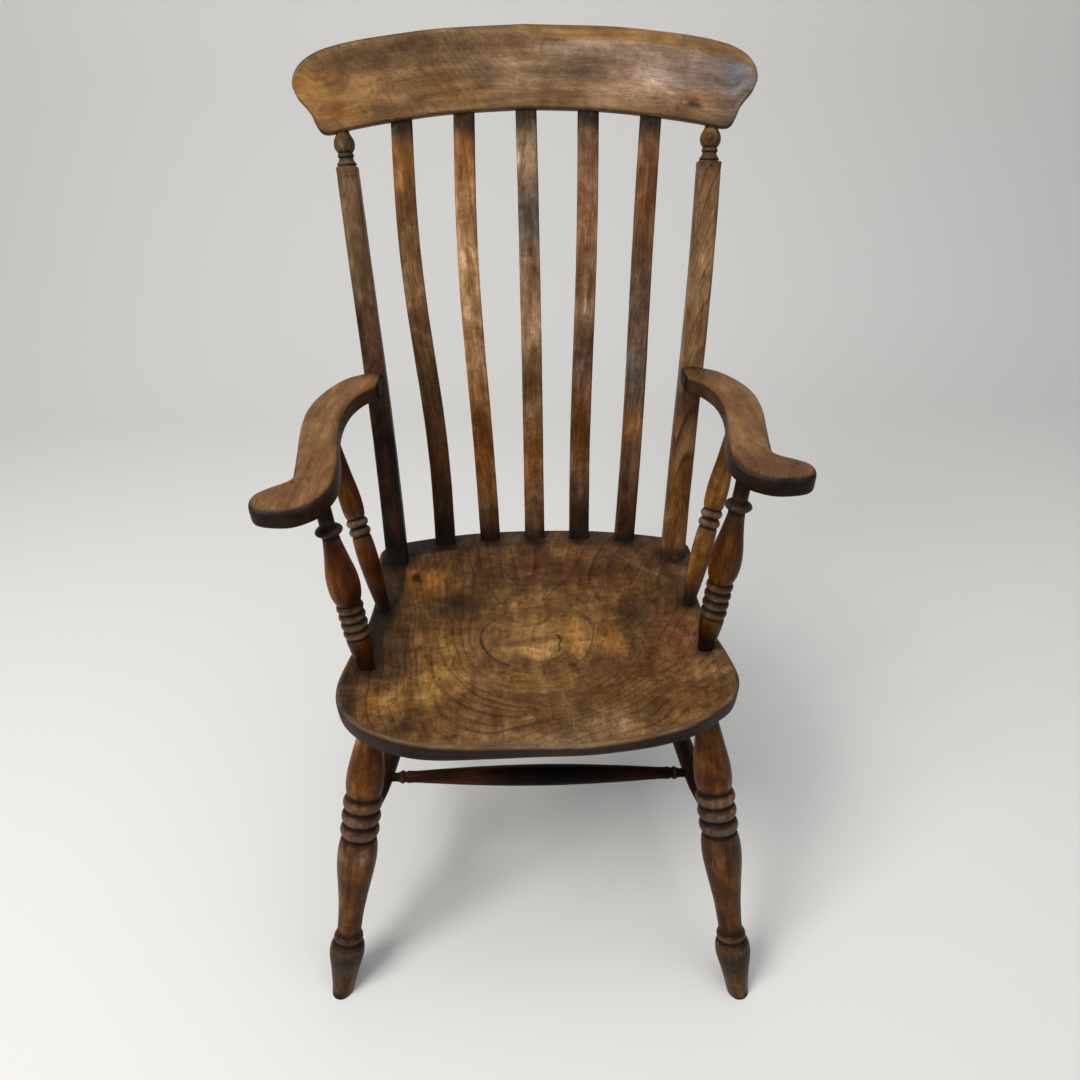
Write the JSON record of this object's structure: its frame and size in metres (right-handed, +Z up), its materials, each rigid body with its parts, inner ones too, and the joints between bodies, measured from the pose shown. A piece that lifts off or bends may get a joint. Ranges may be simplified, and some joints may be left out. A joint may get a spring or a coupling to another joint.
{
  "type": "lath-back armchair",
  "caption": "Old hand-made wooden armchair with a saddled board seat, splayed turned legs, raked back laths under a curved crest rail, and sawn arms.",
  "frame": {"origin": "middle of the chair's bounding box, at floor level", "axes": "+Z up, +Y towards the back, the sitter faces -Y, +X to the right as someone standing in front of the chair and looking at it sees it"},
  "size_m": [0.6363, 0.6779, 1.1284],
  "materials": {
    "seat_elm": "worn wax",
    "crest_elm": "worn wax",
    "post_wood": "worn wax",
    "lath_wood": "worn wax",
    "arm_wood": "worn wax",
    "turned_upright_wood": "worn wax",
    "leg_wood": "worn wax",
    "stretcher_wood": "worn wax",
    "old_screw_steel": "dull, browned"
  },
  "bodies": {
    "root": {"seat": "seat_elm", "crest_rail": "crest_elm", "back_post_left": "post_wood", "back_post_right": "post_wood", "lath_1": "lath_wood", "lath_2": "lath_wood", "lath_3": "lath_wood", "lath_4": "lath_wood", "lath_5": "lath_wood", "arm_left": "arm_wood", "front_arm_support_left": "turned_upright_wood", "rear_arm_spindle_left": "turned_upright_wood", "leg_front_left": "leg_wood", "leg_rear_left": "leg_wood", "side_stretcher_left": "stretcher_wood", "arm_screw_left": "old_screw_steel", "arm_right": "arm_wood", "front_arm_support_right": "turned_upright_wood", "rear_arm_spindle_right": "turned_upright_wood", "leg_front_right": "leg_wood", "leg_rear_right": "leg_wood", "side_stretcher_right": "stretcher_wood", "arm_screw_right": "old_screw_steel", "cross_stretcher": "stretcher_wood"}
  },
  "joints": []
}
